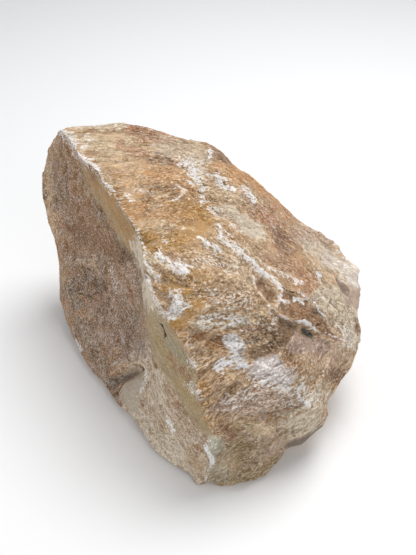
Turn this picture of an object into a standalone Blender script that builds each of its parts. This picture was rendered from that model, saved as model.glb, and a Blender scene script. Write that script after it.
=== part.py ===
"""A rough block of honeycomb calcite, about 0.39 m long: one broken stone with a flat underside.

Run it with blender --background --python part.py. Units are metres, +Z is up, and the origin is
under the middle of the stone's box, on the level that the stone rests on.
"""

import bpy
import bmesh
from mathutils import Vector, noise

MM = 0.001

# Setting out. The stone is set out by its feature lines: points in millimetres along its edges,
# broken faces and foot, with +X to the right, +Y to the back and z measured from the underside.

# The sharp ridge between the steep left face and the top. It runs forward from the back left
# corner, then down the front left edge to the foot.
RIDGE = (
    (-157, 129, 262), (-141, 99, 264), (-124, 59, 266), (-103, 33, 264), (-92, 4, 262),
    (-82, -9, 259), (-66, -33, 252), (-52, -61, 240), (-47, -89, 226), (-37, -111, 208),
    (-19, -129, 192), (-7, -142, 178), (3, -156, 160), (4, -166, 143), (13, -177, 118),
    (23, -183, 88), (18, -185, 50), (13, -183, 18),
)
# The lower edge of the bevelled band just under the ridge.
BAND_FOOT = (
    (-125, 74, 238), (-102, 22, 228), (-80, -12, 218), (-62, -40, 204), (-53, -66, 180),
    (-47, -93, 152), (-37, -118, 122), (-15, -143, 96), (7, -163, 72),
)
# The steep left face: its far edge from the top down, then points over it from back to front.
LEFT_EDGE = (
    (-185, 164, 215), (-196, 151, 186), (-195, 136, 165), (-187, 114, 140), (-179, 101, 112),
    (-180, 94, 75),
)
LEFT_FACE = (
    (-146, 74, 200), (-161, 72, 120), (-149, 33, 80), (-118, 40, 150), (-115, 15, 108),
    (-128, -3, 55), (-82, -18, 140), (-87, -36, 96), (-65, -54, 105), (-107, -40, 40),
    (-60, -73, 75), (-91, -57, 35), (-79, -85, 38), (-58, -91, 62), (-31, -135, 50), (-9, -160, 38),
)
# Where the left face and the front turn under, from the back left corner round to the right.
LEFT_FOOT = (
    (-183, 79, 40), (-176, 64, 22), (-164, 39, 16), (-147, 10, 12), (-128, -22, 10),
    (-110, -44, 10), (-91, -71, 8), (-73, -89, 8), (-63, -107, 8), (-51, -126, 8),
    (-41, -138, 6), (-22, -154, 6), (-4, -165, 6), (3, -177, 4),
)
FRONT_FOOT = ((29, -177, 3), (49, -177, 3), (65, -173, 3), (77, -168, 5), (92, -153, 14), (99, -148, 28))
# The crest along the back of the top, from the back left corner down to the right end.
CREST = (
    (-132, 131, 264), (-100, 137, 265), (-82, 141, 266), (-53, 137, 260), (-27, 129, 254),
    (-6, 129, 249), (13, 130, 244), (32, 121, 238), (47, 107, 228), (63, 102, 222), (79, 91, 214),
    (97, 73, 202), (112, 63, 192), (122, 57, 184), (147, 52, 170), (163, 50, 160), (177, 40, 148),
    (192, 26, 134),
)
# The right end, which bulges out over its foot.
RIGHT_BULGE = (
    (194, -1, 112), (190, -14, 104), (192, -35, 94), (188, -53, 78), (177, -72, 61),
    (158, -92, 55), (148, -103, 50), (149, -116, 42), (142, -125, 32), (123, -137, 24),
)
# The broad top, in rows from the back to the front.
TOP = (
    (-92, 70, 268), (-47, 49, 268), (-2, 44, 258), (33, 34, 246), (68, 24, 228), (-42, -11, 264),
    (-2, -26, 256), (33, -36, 244), (73, -26, 222), (103, -1, 200), (128, -1, 178), (159, -3, 150),
    (-27, -66, 246), (8, -71, 240), (43, -81, 230), (78, -81, 210), (108, -66, 190),
    (133, -66, 168), (163, -56, 130), (-17, -106, 228), (18, -111, 220), (53, -106, 206),
    (88, -101, 186), (118, -96, 156), (153, -81, 118),
)
# The front, which steps down from the top to the foot in three ledges.
FRONT = (
    (8, -131, 196), (41, -127, 192), (73, -121, 172), (29, -142, 170), (51, -142, 166),
    (81, -144, 150), (108, -126, 142), (138, -115, 108), (22, -159, 150), (46, -163, 142),
    (74, -158, 126), (106, -147, 114), (127, -142, 92), (27, -169, 112), (52, -161, 104),
    (83, -153, 98), (110, -155, 76), (38, -175, 74), (64, -168, 66), (91, -156, 58),
    (41, -178, 34), (69, -170, 32),
)
# The back breaks into two upright faces that meet at an edge, with a ledge low on the right one.
BACK_EDGE = ((-56, 175, 214), (-60, 189, 150), (-66, 190, 90), (-62, 179, 40))
BACK_LEDGE = ((-20, 168, 92), (40, 142, 84), (96, 110, 70), (144, 82, 56))
BACK_FACES = (
    (-158, 158, 222), (-108, 165, 216), (12, 141, 190), (58, 118, 172), (104, 96, 146),
    (148, 75, 118), (180, 54, 92), (-186, 149, 140), (-138, 174, 140), (2, 146, 118),
    (62, 122, 108), (116, 94, 92), (166, 66, 76), (-174, 127, 60), (-128, 163, 55), (2, 166, 40),
    (58, 138, 35), (102, 110, 30), (143, 76, 22),
)
RIGHT_END = (
    (182, 20, 66), (175, -21, 48), (161, 34, 22), (159, -11, 20), (153, -51, 26), (137, -91, 26),
)
# The edge of the flat underside.
UNDERSIDE = (
    (17, -166, 0), (65, -162, 0), (103, -129, 0), (131, -81, 0), (145, -31, 0), (145, 29, 0),
    (125, 71, 0), (88, 99, 0), (43, 129, 0), (-7, 149, 0), (-67, 158, 0), (-122, 145, 0),
    (-157, 111, 0), (-167, 69, 0), (-147, 29, 0), (-117, -21, 0), (-83, -63, 0), (-47, -109, 0),
    (-17, -143, 0),
)
# A point well inside the stone, from which every part of its surface can be seen.
HEART = Vector((-2, -6, 118)) * MM

# Surface. Each stretch between setting-out points is broken into this many steps, and each pass of
# wear moves a point this far towards the middle of its neighbours, unless its line holds it.
STEPS = 4
WEAR_PASSES = 3
WEAR = 0.5
# How firmly the points of each line hold: 1 stays sharp and 0 wears freely.
HOLDS = (
    (1.0, (RIDGE, UNDERSIDE)),
    (0.97, (CREST, LEFT_EDGE, LEFT_FOOT, FRONT_FOOT, RIGHT_BULGE)),
    (0.85, (BACK_EDGE, BACK_LEDGE)),
    (0.15, (BAND_FOOT, LEFT_FACE, TOP, FRONT, BACK_FACES, RIGHT_END)),
)
# The roughness of the break: the width and the height of its large and its small lumps, and how
# much of it is kept off a line that holds.
LUMPS = ((34 * MM, 3.8 * MM), (13 * MM, 2.0 * MM))
KEPT_OFF_LINES = 0.75
NOISE_SEED = Vector((3.7, 11.2, 5.9))
LOWEST_ROUGH_POINT = 1 * MM

COLOUR = (0.52, 0.35, 0.2, 1)
ROUGHNESS = 0.8


def block():
    """The setting-out points as one closed mesh, and the layer that says how firmly each holds."""
    bm = bmesh.new()
    hold = bm.verts.layers.float.new("hold")
    places = {}
    for firmness, lines in HOLDS:
        for point in (point for line in lines for point in line):
            place = Vector(point) * MM
            vertex = bm.verts.new((place - HEART).normalized())
            vertex[hold] = firmness
            places[vertex] = place
    # Seen from the heart of the stone, neighbouring points join up as they do round a ball.
    bmesh.ops.convex_hull(bm, input=bm.verts, use_existing_faces=False)
    for vertex, place in places.items():
        vertex.co = place
    bmesh.ops.recalc_face_normals(bm, faces=bm.faces)
    return bm, hold


def lies_flat(face):
    return all(vertex.co.z == 0 for vertex in face.verts)


def refine(bm):
    """Cuts every stretch into steps, apart from those inside the flat underside."""
    rough = [edge for edge in bm.edges if not all(lies_flat(face) for face in edge.link_faces)]
    bmesh.ops.subdivide_edges(bm, edges=rough, cuts=STEPS - 1, use_grid_fill=True)
    bmesh.ops.triangulate(bm, faces=bm.faces)


def move(places):
    for vertex, place in places.items():
        vertex.co = place


def wear(bm, hold):
    """Takes the hard facets off the faces, and leaves the held lines sharp."""
    for _ in range(WEAR_PASSES):
        places = {}
        for vertex in bm.verts:
            neighbours = [edge.other_vert(vertex).co for edge in vertex.link_edges]
            middle = sum(neighbours, Vector()) / len(neighbours)
            places[vertex] = vertex.co.lerp(middle, WEAR * (1 - vertex[hold]))
        move(places)


def roughen(bm, hold):
    """Raises and sinks the broken faces by the two sizes of lump."""
    bm.normal_update()
    places = {}
    for vertex in bm.verts:
        if vertex.co.z == 0:
            continue
        height = sum(rise * noise.noise(vertex.co / width + NOISE_SEED) for width, rise in LUMPS)
        place = vertex.co + vertex.normal * height * (1 - KEPT_OFF_LINES * vertex[hold])
        place.z = max(place.z, LOWEST_ROUGH_POINT)
        places[vertex] = place
    move(places)


def centre(bm):
    """Puts the origin under the middle of the stone's box."""
    for axis in (0, 1):
        along = [vertex.co[axis] for vertex in bm.verts]
        middle = (min(along) + max(along)) / 2
        for vertex in bm.verts:
            vertex.co[axis] -= middle


def calcite():
    material = bpy.data.materials.new("calcite")
    material.use_nodes = True
    shader = material.node_tree.nodes["Principled BSDF"]
    shader.inputs["Base Color"].default_value = COLOUR
    shader.inputs["Roughness"].default_value = ROUGHNESS
    shader.inputs["Metallic"].default_value = 0
    return material


def calcite_boulder():
    bm, hold = block()
    refine(bm)
    wear(bm, hold)
    roughen(bm, hold)
    centre(bm)
    mesh = bpy.data.meshes.new("calcite_boulder")
    bm.to_mesh(mesh)
    bm.free()
    mesh.materials.append(calcite())
    stone = bpy.data.objects.new("calcite_boulder", mesh)
    bpy.context.collection.objects.link(stone)


for old in list(bpy.data.objects):
    bpy.data.objects.remove(old)
calcite_boulder()
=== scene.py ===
import itertools
import math

import bmesh
import bpy
import numpy as np
from mathutils import Matrix, Vector


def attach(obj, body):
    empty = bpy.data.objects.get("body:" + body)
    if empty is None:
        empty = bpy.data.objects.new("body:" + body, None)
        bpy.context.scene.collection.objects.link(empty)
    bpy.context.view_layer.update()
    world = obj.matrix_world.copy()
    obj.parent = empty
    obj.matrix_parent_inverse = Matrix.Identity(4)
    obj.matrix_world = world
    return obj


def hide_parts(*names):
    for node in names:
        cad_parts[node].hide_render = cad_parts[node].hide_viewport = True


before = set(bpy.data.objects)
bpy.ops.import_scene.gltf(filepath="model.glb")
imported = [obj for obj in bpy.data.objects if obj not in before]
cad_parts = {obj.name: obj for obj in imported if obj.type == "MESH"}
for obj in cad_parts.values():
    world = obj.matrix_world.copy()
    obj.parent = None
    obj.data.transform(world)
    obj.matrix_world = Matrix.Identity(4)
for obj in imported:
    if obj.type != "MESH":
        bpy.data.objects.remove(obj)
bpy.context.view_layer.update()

# ---------------------------------------------------------------------------------------------
# The boulder. One piece of honeycomb calcite, broken out of its bed and never worked: a steep granular
# side, a sharp ridge with a honey band under it, and a broad top that breaks in thin lamellae. Nothing
# is fixed to it, and it lies loose on its flat underside.

# Its marks are set out from one standpoint. Each mark is a line of points in a frame seen from there,
# and is carried straight back onto the stone.
FRAME_WIDTH = 416
FRAME_HEIGHT = 555
LENS = 45
SENSOR = 36
FRAME_SCALE = LENS / SENSOR * FRAME_HEIGHT
ELEVATION = math.radians(40)
DISTANCE = 0.778
AIM = np.array([0.0156, -0.0086, 0.149])
BACKWARD = np.array([0, -math.cos(ELEVATION), math.sin(ELEVATION)])
UPWARD = np.array([0, math.sin(ELEVATION), math.cos(ELEVATION)])
RIGHTWARD = np.array([1.0, 0, 0])
STANDPOINT = AIM + DISTANCE * BACKWARD


def in_frame(points):
    """Where each point lies in the frame, across and down."""
    seen = points - STANDPOINT
    scale = FRAME_SCALE / -(seen @ BACKWARD)
    across = FRAME_WIDTH / 2 + scale * (seen @ RIGHTWARD)
    down = FRAME_HEIGHT / 2 - scale * (seen @ UPWARD)
    return np.stack([across, down], axis=1)


# The block: the solid's facets are cut small, then worn round, and only the ridge and the foot stay
# sharp.
MM = 0.001
FLOOR_GAP = 0.05 * MM
MERGE_GAP = 0.02 * MM
LEAST_FACING = -0.1
WIDEST_STRETCH = 20 * MM
WIDEST_FOOT_STRETCH = 60 * MM
CUTS = 2
SHARP_ANGLE = math.radians(50)
WEAR_PASSES = 26
RIDGE_WEAR = 0.03


def stands_on_floor(edge):
    return all(vertex.co.z < FLOOR_GAP for vertex in edge.verts)


def stands_free(edge):
    return not stands_on_floor(edge)


def in_view(face):
    middle = face.calc_center_median()
    return face.normal.dot((Vector(STANDPOINT) - middle).normalized()) > LEAST_FACING


def cut_small():
    """A merged copy of the solid in small triangles, finest in view, and its sharp vertices."""
    bm = bmesh.new()
    bm.from_mesh(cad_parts["calcite_boulder"].data)
    bmesh.ops.remove_doubles(bm, verts=bm.verts, dist=MERGE_GAP)
    bmesh.ops.recalc_face_normals(bm, faces=bm.faces)
    for widest, chosen in ((WIDEST_FOOT_STRETCH, stands_on_floor), (WIDEST_STRETCH, stands_free)):
        while wide := [edge for edge in bm.edges if edge.calc_length() > widest and chosen(edge)]:
            bmesh.ops.subdivide_edges(bm, edges=wide, cuts=1)
            bmesh.ops.triangulate(bm, faces=bm.faces)
    standing = [edge for edge in bm.edges if stands_free(edge)]
    bmesh.ops.subdivide_edges(bm, edges=standing, cuts=CUTS, use_grid_fill=True)
    bmesh.ops.triangulate(bm, faces=bm.faces)
    seen = {edge for face in bm.faces if in_view(face) for edge in face.edges}
    bmesh.ops.subdivide_edges(bm, edges=list(seen), cuts=1, use_grid_fill=True)
    bmesh.ops.triangulate(bm, faces=bm.faces)
    bm.verts.index_update()
    sharp = np.zeros(len(bm.verts), bool)
    for edge in bm.edges:
        if edge.calc_face_angle() > SHARP_ANGLE:
            sharp[edge.verts[0].index] = sharp[edge.verts[1].index] = True
    mesh = bpy.data.meshes.new("calcite_stone")
    bm.to_mesh(mesh)
    bm.free()
    return mesh, sharp


def numbers(items, name, width, kind):
    """This property of every item, one row each."""
    values = np.empty(len(items) * width, kind)
    items.foreach_get(name, values)
    return values.reshape(-1, width)


stone_mesh, sharp = cut_small()
places = numbers(stone_mesh.vertices, "co", 3, float)
corners = numbers(stone_mesh.polygons, "vertices", 3, int)
pairs = numbers(stone_mesh.edges, "vertices", 2, int)
starts = pairs.T.ravel()
ends = pairs[:, ::-1].T.ravel()
neighbour_count = np.bincount(starts)
on_floor = places[:, 2] < FLOOR_GAP


def gathered(index, values):
    """For each vertex, the sum of the values that the index sends to it."""
    columns = values.reshape(len(values), -1).T
    sums = [np.bincount(index, weights=column, minlength=len(places)) for column in columns]
    return np.stack(sums, axis=1).reshape((len(places),) + values.shape[1:])


def blurred(values, passes=1, share=0.5):
    """The values, each moved this share of the way to the mean of its neighbours in each pass."""
    count = neighbour_count.reshape((-1,) + (1,) * (values.ndim - 1))
    for _ in range(passes):
        values = values + (gathered(starts, values[ends]) / count - values) * share
    return values


def outward(points):
    """The unit normal at each vertex."""
    a, b, c = (points[corners[:, k]] for k in range(3))
    across = np.cross(b - a, c - a)
    total = sum(gathered(corners[:, k], across) for k in range(3))
    return total / np.maximum(np.linalg.norm(total, axis=1, keepdims=True), 1e-12)


# Past here, to the right in the frame, every edge is worn.
WORN_FROM = 222
FULL_WEAR = 0.5
sharp &= in_frame(places)[:, 0] < WORN_FROM
wearing = np.where(sharp, RIDGE_WEAR, FULL_WEAR)
wearing[on_floor] = 0
places = blurred(places, WEAR_PASSES, wearing[:, None])
# The corner of the right facet is worn rounder still.
RIGHT_CORNER = (354, 264)
RIGHT_CORNER_REACH = 26
RIGHT_CORNER_PASSES = 50
corner_gap = np.hypot(*(in_frame(places) - RIGHT_CORNER).T)
corner_wear = FULL_WEAR * np.clip(2 - 2 * corner_gap / RIGHT_CORNER_REACH, 0, 1)
places = blurred(places, RIGHT_CORNER_PASSES, corner_wear[:, None])
FACING_PASSES = 10
faces_out = outward(blurred(places, FACING_PASSES))

frame_place = in_frame(places)
sight = STANDPOINT - places
sight /= np.linalg.norm(sight, axis=1, keepdims=True)
facing = (faces_out * sight).sum(axis=1)


def eased(value, low, high):
    """Rises smoothly from 0 at low to 1 at high."""
    share = np.clip((value - low) / (high - low), 0, 1)
    return share * share * (3 - 2 * share)


# Relief fades out where the stone turns from the standpoint, and stains fade a little past that.
in_sight = eased(facing, -0.05, 0.15)
stained_sight = eased(facing, -0.30, -0.05)

# The break. Lumps, flakes and grain come from seeded noise laid through the stone, so that the break
# runs on round every side of it.
NOISE_SEED = 41
SLOPE_COUNT = 256
DRAW_COUNT = 4096
rng = np.random.default_rng(NOISE_SEED)
slopes = rng.normal(size=(SLOPE_COUNT, 3))
slopes /= np.linalg.norm(slopes, axis=1, keepdims=True)
draws = rng.random((DRAW_COUNT, 6))


def shuffled(cells, seed):
    """A repeatable whole number for each cell of a cubic lattice, mixed with large odd factors."""
    mixed = cells[:, 0] * 73856093 ^ cells[:, 1] * 19349663 ^ cells[:, 2] * 83492791 ^ seed * 2654435761
    mixed = (mixed & 0xFFFFFFFF) * 2246822519 & 0xFFFFFFFF
    return (mixed ^ mixed >> 15) & 0x7FFFFFFF


def noise(points, seed):
    """Smooth noise with lumps one unit wide, nearly all of it between -0.6 and 0.6."""
    cell = np.floor(points).astype(np.int64)
    inside = points - cell
    ease = inside ** 3 * (inside * (inside * 6 - 15) + 10)
    total = np.zeros(len(points))
    for corner in itertools.product((0, 1), repeat=3):
        slope = slopes[shuffled(cell + corner, seed) % SLOPE_COUNT]
        weight = np.where(corner, ease, 1 - ease).prod(axis=1)
        total += weight * ((inside - corner) * slope).sum(axis=1)
    return total


LAYER_SHIFT = 17.3


def lumps(points, width, seed, layers):
    """Noise in layers, each half as wide and half as high as the one before."""
    total = np.zeros(len(points))
    for layer in range(layers):
        total += 0.5 ** layer * noise(points * 2 ** layer / width + LAYER_SHIFT * layer, seed + layer)
    return total


def mottles(width, seed, layers=2):
    """Noise through the stone, with lumps this many millimetres wide."""
    return lumps(places, width * MM, seed, layers)


def flakes(points, seed):
    """The height of a break in tilted flakes about one unit wide."""
    cell = np.floor(points).astype(np.int64)
    nearest = np.full(len(points), np.inf)
    height = np.zeros(len(points))
    for offset in itertools.product((-1, 0, 1), repeat=3):
        there = cell + offset
        draw = draws[shuffled(there, seed) % DRAW_COUNT]
        gap = points - there - draw[:, :3]
        distance = (gap ** 2).sum(axis=1)
        tilted = (gap * (draw[:, 3:] - 0.5)).sum(axis=1) * 2 + draw[:, 3] - 0.5
        closer = distance < nearest
        height = np.where(closer, tilted, height)
        nearest = np.minimum(nearest, distance)
    return height


def stepped(height, count, sharpness, swing):
    """The height in steps, this many to a unit, each with a flat tread and a short steep riser."""
    tread = np.floor(height * count)
    rise = height * count - tread
    return (tread + rise ** sharpness / (rise ** sharpness + (1 - rise) ** sharpness)) / count * swing


def grain_axes(direction, normal):
    """Unit axes along, across and out of a break whose streaks run this way in the frame."""
    flat = RIGHTWARD * direction[0] - UPWARD * direction[1]
    normal = np.array(normal) / np.linalg.norm(normal)
    along = flat - BACKWARD * (flat @ normal) / (BACKWARD @ normal)
    along /= np.linalg.norm(along)
    return np.array([along, np.cross(normal, along), normal])


# Where the streaks of the lamellae run which way: the way in the frame, the way the stone faces
# there, how drawn out they are, and lines in the frame through the middle of the zone.
STREAK_ZONES = {
    "upper": ((1, 0.08), (0.05, -0.1, 1), 2.0, [((70, 140), (150, 148)), ((85, 160), (110, 185))]),
    "middle": ((1, -0.10), (0.1, -0.25, 0.95), 0.9, [
        ((140, 180), (235, 205)), ((145, 232), (190, 238)),
        ((165, 300), (240, 290)), ((200, 325), (255, 335)),
    ]),
    "bruised": ((1, 0.75), (0.2, -0.3, 0.9), 0.8, [((156, 256), (188, 274)), ((205, 235), (262, 275))]),
    "crest side": ((1, 0.7), (0.3, -0.3, 0.9), 1.0, [((255, 190), (292, 240))]),
    "slant": ((1, 0.35), (0.3, -0.3, 0.9), 1.0, [((310, 240), (350, 280)), ((285, 270), (330, 325))]),
    "fan": ((1, -0.7), (0.2, -0.8, 0.6), 1.2, [((190, 350), (225, 420)), ((225, 400), (250, 385))]),
    "front": ((1, -0.35), (0.2, -0.8, 0.6), 1.0, [((250, 372), (300, 395)), ((240, 425), (285, 415))]),
    "foot": ((1, -0.9), (0.5, -0.8, 0.3), 1.1, [((310, 360), (325, 400)), ((235, 455), (300, 435))]),
}
ZONE_BLEND = 12


def from_line(line):
    """How far each vertex lies from a line in the frame, its side of it, and how far along it is."""
    best = np.full(len(places), np.inf)
    side = np.ones(len(places))
    along = np.zeros(len(places))
    stretches = list(zip(line[:-1], line[1:]))
    whole = sum(math.dist(start, end) for start, end in stretches)
    passed = 0
    for start, end in stretches:
        length = math.dist(start, end)
        start = np.array(start, float)
        run = np.array(end, float) - start
        share = np.clip(((frame_place - start) @ run) / (run @ run), 0, 1)
        gap = frame_place - start - share[:, None] * run
        distance = np.hypot(gap[:, 0], gap[:, 1])
        turn = run[0] * (frame_place[:, 1] - start[1]) - run[1] * (frame_place[:, 0] - start[0])
        closer = distance < best
        side = np.where(closer, np.sign(turn), side)
        along = np.where(closer, (passed + share * length) / whole, along)
        best = np.minimum(best, distance)
        passed += length
    return best, side, along


def zone_shares():
    """How much each streak zone counts at each vertex."""
    reach = {}
    for name, (_, _, _, lines) in STREAK_ZONES.items():
        reach[name] = np.min([from_line(line)[0] for line in lines], axis=0)
    nearest = np.min(list(reach.values()), axis=0)
    weights = {name: np.exp(-(distance - nearest) / ZONE_BLEND) for name, distance in reach.items()}
    total = sum(weights.values())
    return {name: weight / total for name, weight in weights.items()}


zones = zone_shares()

# The ridge between the top and the steep side, and the lower edge of the honey band under it.
RIDGE = [
    (58, 124), (62, 130), (78, 148), (81, 156), (92, 166), (100, 180), (113, 193), (121, 208),
    (127, 215), (137, 233), (141, 245), (144, 262), (145, 278), (153, 292), (162, 313), (172, 326),
    (184, 346), (196, 370), (197, 390), (205, 416), (216, 440), (211, 463), (206, 480), (205, 490),
]
BAND_EDGE = [
    (78, 160), (82, 170), (90, 189), (103, 211), (114, 231), (125, 247), (136, 258), (141, 275),
    (143, 295), (145, 307), (149, 339), (156, 362), (173, 387), (187, 412), (207, 438), (213, 450),
]
STEEP_SIDE = np.array([-0.80, -0.56, 0.19])
ridge_distance, ridge_side, ridge_along = from_line(RIDGE)
past_ridge = ridge_distance * ridge_side
band_distance, band_side, band_along = from_line(BAND_EDGE)
seen_side = eased(past_ridge, -0.8, 0.8)
hidden_side = eased(faces_out @ STEEP_SIDE, 0.35, 0.6)
granular = hidden_side + (seen_side - hidden_side) * in_sight
# The band's lower edge is ragged by this much in the frame.
BAND_RAGGEDNESS = 5
band_depth = mottles(9, seed=5) * BAND_RAGGEDNESS - band_distance * band_side
band = seen_side * eased(band_depth, -3.5, 2.5) * in_sight
band *= eased(band_along, 0.0, 0.03) * eased(1 - band_along, 0.0, 0.02)

WARP_WIDTH = 14
WARP_HEIGHT = 5 * MM
warp = np.stack([mottles(WARP_WIDTH, seed) for seed in (1, 2, 3)], axis=1)
wavy = places + warp * WARP_HEIGHT


def streaked(size, seed, layers=2):
    """Noise drawn out along the streaks, with lumps of this length, width and depth in millimetres."""
    total = np.zeros(len(places))
    for name, (direction, normal, stretch, _) in STREAK_ZONES.items():
        along = wavy @ grain_axes(direction, normal).T
        total += zones[name] * lumps(along, np.array(size) * (stretch, 1, 1) * MM, seed, layers)
    return total


broad = streaked((60, 22, 20), seed=11, layers=3)
narrow = streaked((20, 6.5, 8), seed=14)
fine = streaked((9, 2.8, 4), seed=17)
# The break goes down in large steps and in small ones, over this swing in millimetres.
steps = stepped(broad, count=5, sharpness=5, swing=9)
small_steps = stepped(broad + narrow * 0.5, count=9, sharpness=4, swing=4)


def lamellae(period):
    """Thin sheets laid one over another: each rises across the streaks, then drops at its lip."""
    total = np.zeros(len(places))
    for name, (direction, normal, stretch, _) in STREAK_ZONES.items():
        count = narrow * 0.6 + broad * 1.3 - wavy @ grain_axes(direction, normal)[1] / (period * MM)
        total += zones[name] * min(stretch, 1) * (count - np.floor(count) - 0.5)
    return total


SHEET_PERIOD = 6.5
sheets = lamellae(SHEET_PERIOD) * (0.8 + 1.4 * mottles(30, seed=19))
flaky = steps * 0.7 + small_steps * 0.9 + narrow * 0.6 + fine * 0.7 + sheets

CRYSTAL = 4 * MM
crystals = flakes(places / CRYSTAL, seed=23)
grainy = mottles(60, seed=21) * 3.0 + mottles(9, seed=22) * 0.9 + crystals * 0.7
lumpy = mottles(38, seed=31, layers=3) * 2.2

# Where the break is coarser, above zero, or smoother, below it: how much, its reach, its line.
COARSENESS = {
    "ochre below the crest": (-0.45, 20, [(130, 212), (160, 218), (198, 214)]),
    "ochre below the arc": (-0.45, 15, [(150, 240), (175, 241), (200, 232)]),
    "ochre between bruises": (-0.5, 12, [(160, 282), (180, 292)]),
    "smooth amber": (-0.75, 11, [(172, 328), (188, 318), (202, 304)]),
    "amber hollow": (-0.5, 8, [(198, 340), (222, 344)]),
    "cream lamellae": (-0.45, 28, [(80, 140), (120, 150), (135, 175)]),
    "orange belt": (-0.1, 18, [(150, 172), (185, 178)]),
    "grainy field": (0.25, 16, [(200, 322), (225, 320), (250, 324)]),
    "middle field": (-0.1, 24, [(205, 280), (230, 290), (250, 310)]),
    "front": (0.25, 26, [(225, 395), (260, 400), (290, 405)]),
    "right side": (-0.3, 26, [(280, 230), (300, 350)]),
    "right facet": (-0.45, 20, [(312, 250), (335, 262), (345, 290)]),
    "right edge": (-0.7, 14, [(358, 262), (363, 300), (360, 345)]),
    "crest rim": (-0.35, 10, [(205, 143), (222, 150), (236, 166), (252, 175), (268, 190), (286, 208)]),
    "foot": (-0.3, 26, [(230, 455), (270, 440), (305, 425)]),
    "rusty side": (-0.6, 20, [(84, 236), (100, 234), (122, 248)]),
    "smooth pale facet": (-0.9, 13, [(128, 378), (134, 394), (130, 410)]),
    "mauve dent": (-0.8, 7, [(339, 279), (348, 291)]),
}
coarse = np.zeros(len(places))
for amount, reach, line in COARSENESS.values():
    coarse += amount * eased(1 - from_line(line)[0] / reach, 0, 0.6) * in_sight

relief = lumpy + flaky * np.clip(0.9 + coarse, 0.3, 1.4) * (1 - granular)
relief += grainy * granular * (1 - 0.7 * band)
relief *= 1 - 0.5 * sharp
# A low bead stands along the lower half of the ridge.
RIDGE_BEAD = 0.8
RIDGE_BEAD_REACH = 1.8
bead = RIDGE_BEAD * np.exp(-(ridge_distance / RIDGE_BEAD_REACH) ** 2)
relief += bead * in_sight * eased(ridge_along, 0.3, 0.5)

# Ribs stand proud of the break, and hollows and cracks go below zero: the height in millimetres, how
# far it reaches to each side, and its line in the frame.
RIBS = {
    "diagonal rib": (2.6, 3.5, [
        (219, 227), (221, 238), (229, 247), (243, 257), (257, 270), (270, 277), (281, 288),
    ]),
    "branch left of the rib": (1.6, 2.5, [(199, 238), (207, 243), (216, 248)]),
    "branch right of the rib": (1.5, 2.5, [(255, 259), (275, 270), (300, 281)]),
    "left rim of the lens pocket": (1.6, 2, [(254, 277), (256, 288), (262, 298), (275, 309)]),
    "right rim of the lens pocket": (1.2, 2.5, [(279, 286), (282, 297), (277, 308)]),
    "lens pocket": (-3.5, 5, [(263, 284), (267, 292), (272, 299)]),
    "hollow under the ledge": (-2, 5, [(284, 323), (300, 329), (312, 334)]),
    "hole under the ledge": (-0.5, 3.0, [(308, 329), (317, 337)]),
    "dent below the crest": (-3, 9, [(280, 238), (285, 246)]),
    "dent in the right facet": (-1.6, 6, [(340, 279), (348, 292)]),
    "amber hollow": (-4, 5, [(198, 336), (212, 341), (226, 340)]),
    "front undercut": (-3, 5, [(262, 412), (281, 414)]),
    "right shoulder dip": (-2, 7, [(335, 376), (350, 378)]),
    "olive hollow": (-5, 10, [(84, 280), (94, 290)]),
    "olive hollow rim": (1.5, 4, [(72, 262), (84, 262), (98, 266), (106, 278)]),
    "notch": (-8, 5, [(111, 384), (118, 380), (128, 375), (138, 370)]),
    "notch lip": (3.0, 4, [(110, 375), (120, 367), (132, 364), (145, 360)]),
    "crack at the top": (-0.5, 1.4, [(180, 140), (188, 143)]),
    "hair crack at the top": (-0.5, 1.4, [(144, 144), (151, 148), (158, 153), (163, 156)]),
    "crack over the slab": (-1.5, 1.6, [(281, 288), (288, 290), (297, 293), (304, 297), (312, 302)]),
    "crack in the band": (-2.2, 1.6, [(161, 325), (163, 331), (165, 336)]),
    "slot in the front": (-2.0, 1.6, [(279, 410), (288, 407)]),
    "upright crack": (-0.8, 1.4, [(276, 414), (276, 421), (277, 429)]),
    "upright crack in the foot": (-0.8, 1.4, [(297, 415), (293, 428), (293, 440)]),
    "crack in the notch": (-2, 1.6, [(117, 394), (119, 389), (121, 385)]),
    "crack across the steep side": (-1.5, 1.5, [(69, 290), (76, 293), (88, 297)]),
    "crack under the bruise": (-1.5, 1.6, [(170, 273), (176, 277), (182, 281)]),
    "crack near the floor": (-1.2, 1.5, [(229, 466), (228, 473), (227, 480)]),
    "vein in the steep side": (1.2, 2, [(114, 324), (128, 333), (138, 339)]),
    "vein above the notch": (1.0, 2, [(124, 362), (130, 357), (136, 351)]),
    "chevron": (1.6, 2.2, [(176, 186), (186, 192), (180, 196), (174, 199)]),
    "arc": (1.4, 2.2, [(163, 221), (172, 226), (181, 229), (193, 229)]),
    "first fan streak": (1.8, 2.5, [(203, 394), (214, 385), (225, 374)]),
    "second fan streak": (1.8, 2.5, [(206, 405), (220, 393), (233, 380)]),
    "third fan streak": (1.8, 2.2, [(200, 420), (215, 410), (232, 396), (250, 383)]),
    "fourth fan streak": (1.5, 2.2, [(222, 412), (240, 400), (258, 390), (272, 388)]),
    "front streak": (1.3, 2.5, [(296, 387), (300, 397), (308, 405)]),
    "bump in the crest": (2.5, 9, [(226, 152), (235, 161)]),
    "worn corner of the crest": (-6, 9, [(253, 172), (262, 183)]),
    "rounded right corner": (9, 7, [(340, 246), (350, 256), (357, 268)]),
}

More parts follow.
